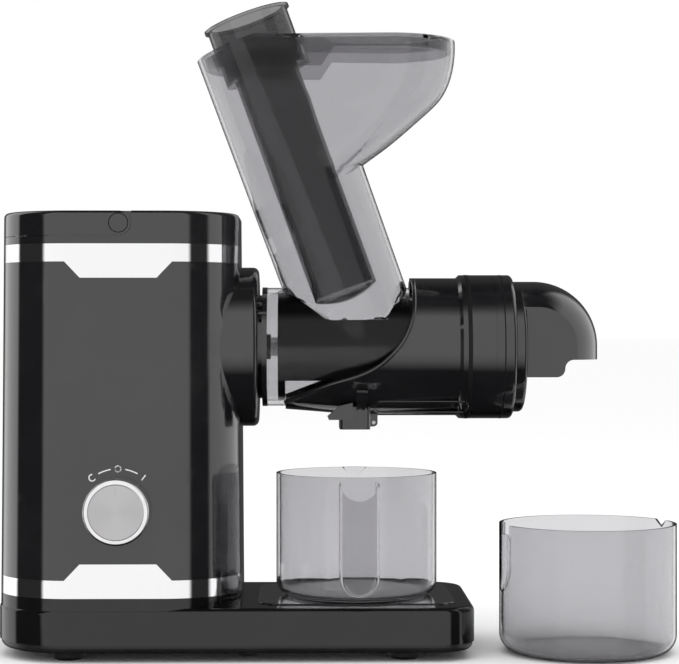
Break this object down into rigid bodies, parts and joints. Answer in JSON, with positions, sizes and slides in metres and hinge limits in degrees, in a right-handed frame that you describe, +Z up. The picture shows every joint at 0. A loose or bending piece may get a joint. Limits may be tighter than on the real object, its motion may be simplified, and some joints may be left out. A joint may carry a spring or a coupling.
{
  "type": "masticating juicer",
  "caption": "Horizontal slow juicer: motor tower on a base tray, auger drum with a tilted feed chute, side trough and pusher, juice jug and pulp container.",
  "frame": {"origin": "bottom centre of the whole set's box, on the surface it stands on", "axes": "+X along the drum from the motor tower to the pulp spout, +Y to the rear, +Z up"},
  "size_m": [0.4508, 0.1606, 0.4369],
  "materials": {
    "gloss_black": "polished piano black",
    "tray_black": "polished black with fine scratches",
    "satin_black": "satin black moulding",
    "bright_trim": "bright plated trim",
    "brushed_metal": "spun metal",
    "rubber": "soft grey-black rubber",
    "plated_steel": "zinc-plated steel",
    "motor_steel": "laminated steel",
    "gear_plastic": "natural acetal, greased",
    "gearbox_plastic": "glass-filled nylon",
    "board": "solder-resist green",
    "drum_black": "polished black moulding",
    "guide_black": "fine-grained black moulding",
    "auger_black": "glass-filled black moulding",
    "strainer_steel": "perforated stainless sheet",
    "bronze": "sintered bearing bronze",
    "clear_plastic": "clear smoke-tinted copolyester",
    "bin_plastic": "clear smoke-tinted copolyester",
    "smoke_plastic": "dark smoke copolyester"
  },
  "bodies": {
    "root": {"base_shell": "gloss_black", "tray_pad": "tray_black", "bottom_cover": "satin_black", "base_screws": "plated_steel", "foot_front_left": "rubber", "foot_front_right": "rubber", "foot_rear_left": "rubber", "foot_rear_right": "rubber", "stud_feet": "rubber", "lower_band": "bright_trim", "tower_shell": "gloss_black", "rear_cover": "gloss_black", "cover_screws": "plated_steel", "cord_gland": "rubber", "upper_band": "bright_trim", "top_cap": "gloss_black", "handle_pin_front": "brushed_metal", "handle_pin_rear": "brushed_metal", "rotary_switch": "satin_black", "hub_collar": "gloss_black", "gearbox_housing": "gearbox_plastic", "gearbox_cover": "gearbox_plastic", "bearing_rear": "plated_steel", "bearing_front": "plated_steel", "idler_axle": "plated_steel", "motor_frame": "motor_steel", "stator": "motor_steel", "circuit_board": "board"},
    "handle": {"carry_handle": "gloss_black"},
    "knob": {"knob_skirt": "satin_black", "knob_face": "brushed_metal", "knob_shaft": "plated_steel"},
    "drive": {"output_shaft": "plated_steel", "output_gear": "gear_plastic", "auger_shaft": "plated_steel", "auger": "auger_black"},
    "idler": {"idler_gear": "gear_plastic"},
    "motor": {"pinion_gear": "gear_plastic", "motor_shaft": "plated_steel", "rotor": "motor_steel", "cooling_fan": "gear_plastic"},
    "drum": {"drum_flange": "drum_black", "shaft_seal": "rubber", "chute_hopper": "clear_plastic", "drum_body": "drum_black", "feed_guide": "guide_black", "strainer_mesh": "strainer_steel", "strainer_frame": "guide_black", "drip_cap_pin": "plated_steel"},
    "lid": {"hopper_lid": "smoke_plastic"},
    "pusher": {"pusher": "smoke_plastic"},
    "drip_cap": {"drip_cap": "drum_black"},
    "end_cap": {"end_cap": "drum_black", "end_bush": "bronze"},
    "ring_nut": {"ring_nut": "drum_black"},
    "jug": {"juice_jug": "clear_plastic"},
    "pulp_container": {"pulp_container": "bin_plastic"}
  },
  "joints": [
    {"name": "carry_handle_fold", "type": "hinge", "parent": "root", "child": "handle", "pos_m": [-0.1429, 0.00717, 0.284], "axis": [0, 1, 0], "range_deg": [0, 90]},
    {"name": "knob_turn", "type": "hinge", "parent": "root", "child": "knob", "pos_m": [-0.1429, -0.0634, 0.0986], "axis": [0, 1, 0], "range_deg": [-40, 40]},
    {"name": "motor_turn", "type": "hinge", "parent": "root", "child": "motor", "pos_m": [-0.10655, 0.00717, 0.10787], "axis": [1, 0, 0], "continuous": true},
    {"name": "idler_turn", "type": "hinge", "parent": "root", "child": "idler", "pos_m": [-0.10655, 0.00717, 0.15038], "axis": [1, 0, 0], "continuous": true},
    {"name": "auger_turn", "type": "hinge", "parent": "root", "child": "drive", "pos_m": [-0.05355, 0.00717, 0.2035], "axis": [1, 0, 0], "continuous": true},
    {"name": "drum_unlock", "type": "hinge", "parent": "root", "child": "drum", "pos_m": [-0.05355, 0.00717, 0.2035], "axis": [1, 0, 0], "range_deg": [0, 30]},
    {"name": "lid_lift", "type": "slide", "parent": "drum", "child": "lid", "axis": [-0.342, 0, 0.9397], "range_m": [0, 0.05]},
    {"name": "pusher_slide", "type": "slide", "parent": "lid", "child": "pusher", "axis": [-0.342, 0, 0.9397], "range_m": [0, 0.2]},
    {"name": "drip_cap_open", "type": "hinge", "parent": "drum", "child": "drip_cap", "pos_m": [0.02405, 0.00717, 0.1523], "axis": [0, -1, 0], "range_deg": [0, 90]},
    {"name": "end_cap_pull", "type": "slide", "parent": "drum", "child": "end_cap", "axis": [1, 0, 0], "range_m": [0, 0.12]},
    {"name": "ring_nut_turn", "type": "hinge", "parent": "end_cap", "child": "ring_nut", "pos_m": [0.10395, 0.00717, 0.2035], "axis": [1, 0, 0], "range_deg": [0, 360]},
    {"name": "jug_slide", "type": "slide", "parent": "root", "child": "jug", "axis": [0, -1, 0], "range_m": [0, 0.15]},
    {"name": "pulp_container_slide", "type": "slide", "parent": "root", "child": "pulp_container", "axis": [0, -1, 0], "range_m": [0, 0.15]}
  ],
  "couplings": [
    {"joint": "idler_turn", "follows": "motor_turn", "ratio": -0.33333},
    {"joint": "auger_turn", "follows": "motor_turn", "ratio": 0.083333}
  ]
}
